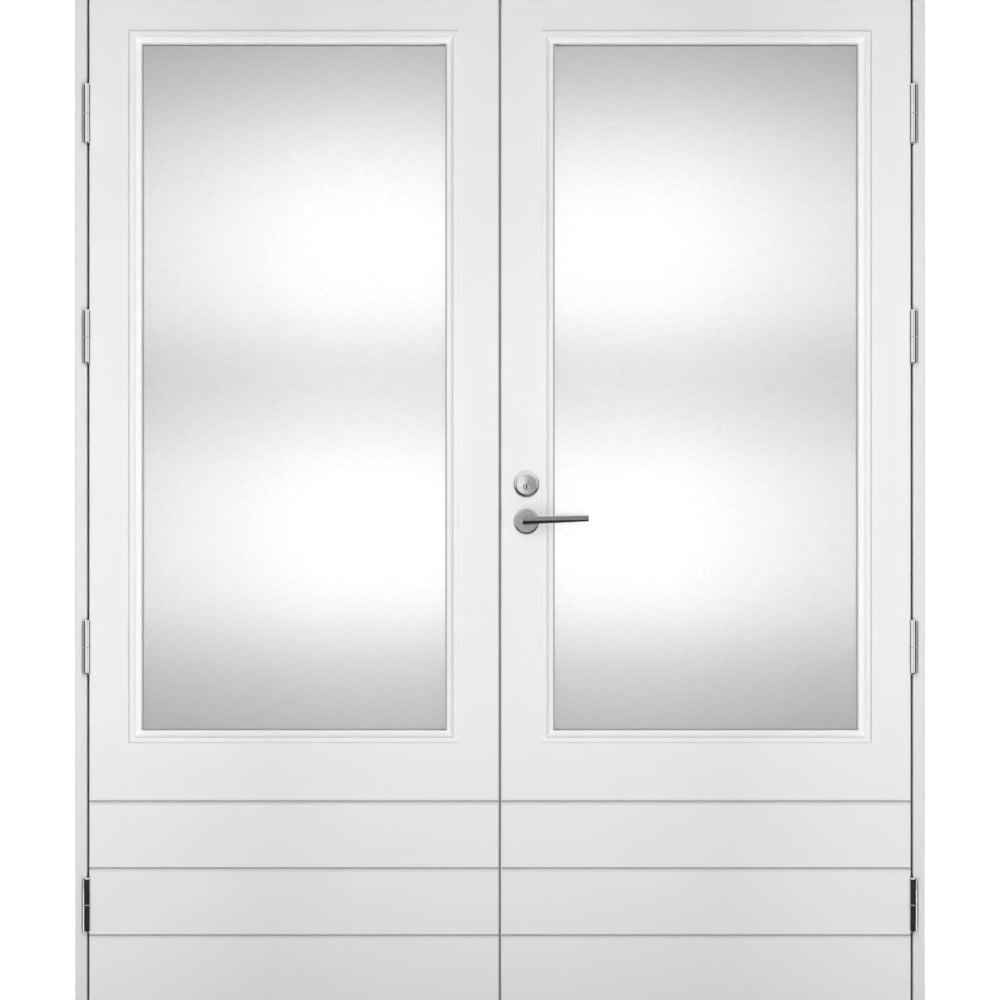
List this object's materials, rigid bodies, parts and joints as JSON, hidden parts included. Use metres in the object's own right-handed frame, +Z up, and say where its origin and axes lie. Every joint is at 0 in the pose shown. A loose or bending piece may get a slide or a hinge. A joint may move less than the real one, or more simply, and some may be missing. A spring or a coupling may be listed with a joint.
{
  "type": "french doors",
  "caption": "White outside pair doors in a rebated frame, with tall satin glass panes over grooved panels, hinges on both sides, and a cylinder lock and lever on the active leaf.",
  "frame": {"origin": "under the middle of the threshold, half way through the frame's depth", "axes": "+Z up, +X to the right seen from outdoors, -Y outdoors, the way the leaves open"},
  "size_m": [1.69, 0.167, 2.09],
  "materials": {
    "white_paint": "white paint, half gloss",
    "oak": "oiled",
    "aluminium": "anodised",
    "hinge_steel": "bright plated",
    "satin_chrome": "satin plated",
    "zinc_steel": "zinc plated",
    "rubber": "matt",
    "satin_glass": "satin etched"
  },
  "bodies": {
    "frame": {"jamb_left": "white_paint", "jamb_right": "white_paint", "frame_head": "white_paint", "threshold": "oak", "threshold_rail": "aluminium", "frame_gasket": "rubber", "bolt_sockets": "zinc_steel", "hinge_pins": "hinge_steel", "frame_hinge_screws": "zinc_steel", "hinge_frame_half_left_1": "hinge_steel", "hinge_frame_half_left_2": "hinge_steel", "hinge_frame_half_left_3": "hinge_steel", "hinge_frame_half_left_4": "hinge_steel", "hinge_frame_half_right_1": "hinge_steel", "hinge_frame_half_right_2": "hinge_steel", "hinge_frame_half_right_3": "hinge_steel", "hinge_frame_half_right_4": "hinge_steel"},
    "passive_leaf": {"passive_slab": "white_paint", "passive_bead_top": "white_paint", "passive_bead_bottom": "white_paint", "passive_bead_hinge_side": "white_paint", "passive_bead_meeting_side": "white_paint", "passive_inner_beads": "white_paint", "passive_glass_unit": "satin_glass", "passive_glazing_gaskets": "rubber", "passive_leaf_screws": "zinc_steel", "hinge_leaf_half_left_1": "hinge_steel", "hinge_leaf_half_left_2": "hinge_steel", "hinge_leaf_half_left_3": "hinge_steel", "hinge_leaf_half_left_4": "hinge_steel", "meeting_seal": "rubber", "strike_plate": "zinc_steel", "flush_bolt_plates": "zinc_steel"},
    "active_leaf": {"active_slab": "white_paint", "active_bead_top": "white_paint", "active_bead_bottom": "white_paint", "active_bead_hinge_side": "white_paint", "active_bead_meeting_side": "white_paint", "active_inner_beads": "white_paint", "active_glass_unit": "satin_glass", "active_glazing_gaskets": "rubber", "active_leaf_screws": "zinc_steel", "hinge_leaf_half_right_1": "hinge_steel", "hinge_leaf_half_right_2": "hinge_steel", "hinge_leaf_half_right_3": "hinge_steel", "hinge_leaf_half_right_4": "hinge_steel", "lock_case": "zinc_steel", "outer_rose": "satin_chrome", "inner_plate": "satin_chrome", "cylinder_ring": "satin_chrome", "cylinder_body": "satin_chrome"},
    "flush_bolt_top": {"flush_bolt_top": "zinc_steel"},
    "flush_bolt_bottom": {"flush_bolt_bottom": "zinc_steel"},
    "lever": {"outer_lever": "satin_chrome", "inner_lever": "satin_chrome", "spindle": "zinc_steel"},
    "latch": {"latch_bolt": "zinc_steel"},
    "dead_bolt": {"dead_bolt": "zinc_steel"},
    "key_plug": {"cylinder_plug": "satin_chrome"},
    "thumbturn": {"thumbturn": "satin_chrome"}
  },
  "joints": [
    {"name": "passive_leaf_swing", "type": "hinge", "parent": "frame", "child": "passive_leaf", "pos_m": [-0.8195, -0.0613, 1], "axis": [0, 0, -1], "range_deg": [0, 165]},
    {"name": "active_leaf_swing", "type": "hinge", "parent": "frame", "child": "active_leaf", "pos_m": [0.8195, -0.0613, 1], "axis": [0, 0, 1], "range_deg": [0, 165]},
    {"name": "lever_press", "type": "hinge", "parent": "active_leaf", "child": "lever", "pos_m": [0.0525, -0.0215, 1.007], "axis": [0, 1, 0], "range_deg": [0, 45], "stiffness_Nm_per_rad": 1.5, "springref_deg": -45.84},
    {"name": "latch_slide", "type": "slide", "parent": "active_leaf", "child": "latch", "axis": [1, 0, 0], "range_m": [0, 0.01205]},
    {"name": "thumbturn_turn", "type": "hinge", "parent": "active_leaf", "child": "thumbturn", "pos_m": [0.0525, -0.0215, 1.081], "axis": [0, -1, 0], "range_deg": [0, 90]},
    {"name": "dead_bolt_slide", "type": "slide", "parent": "active_leaf", "child": "dead_bolt", "axis": [-1, 0, 0], "range_m": [0, 0.01838]},
    {"name": "key_plug_turn", "type": "hinge", "parent": "active_leaf", "child": "key_plug", "pos_m": [0.0525, -0.06, 1.0756], "axis": [0, 1, 0], "range_deg": [-90, 90]},
    {"name": "flush_bolt_top_slide", "type": "slide", "parent": "passive_leaf", "child": "flush_bolt_top", "axis": [0, 0, 1], "range_m": [0, 0.018]},
    {"name": "flush_bolt_bottom_slide", "type": "slide", "parent": "passive_leaf", "child": "flush_bolt_bottom", "axis": [0, 0, -1], "range_m": [0, 0.018]}
  ],
  "couplings": [
    {"joint": "latch_slide", "follows": "lever_press", "m_per_rad": 0.015279},
    {"joint": "thumbturn_turn", "follows": "dead_bolt_slide", "rad_per_m": 85.44}
  ]
}
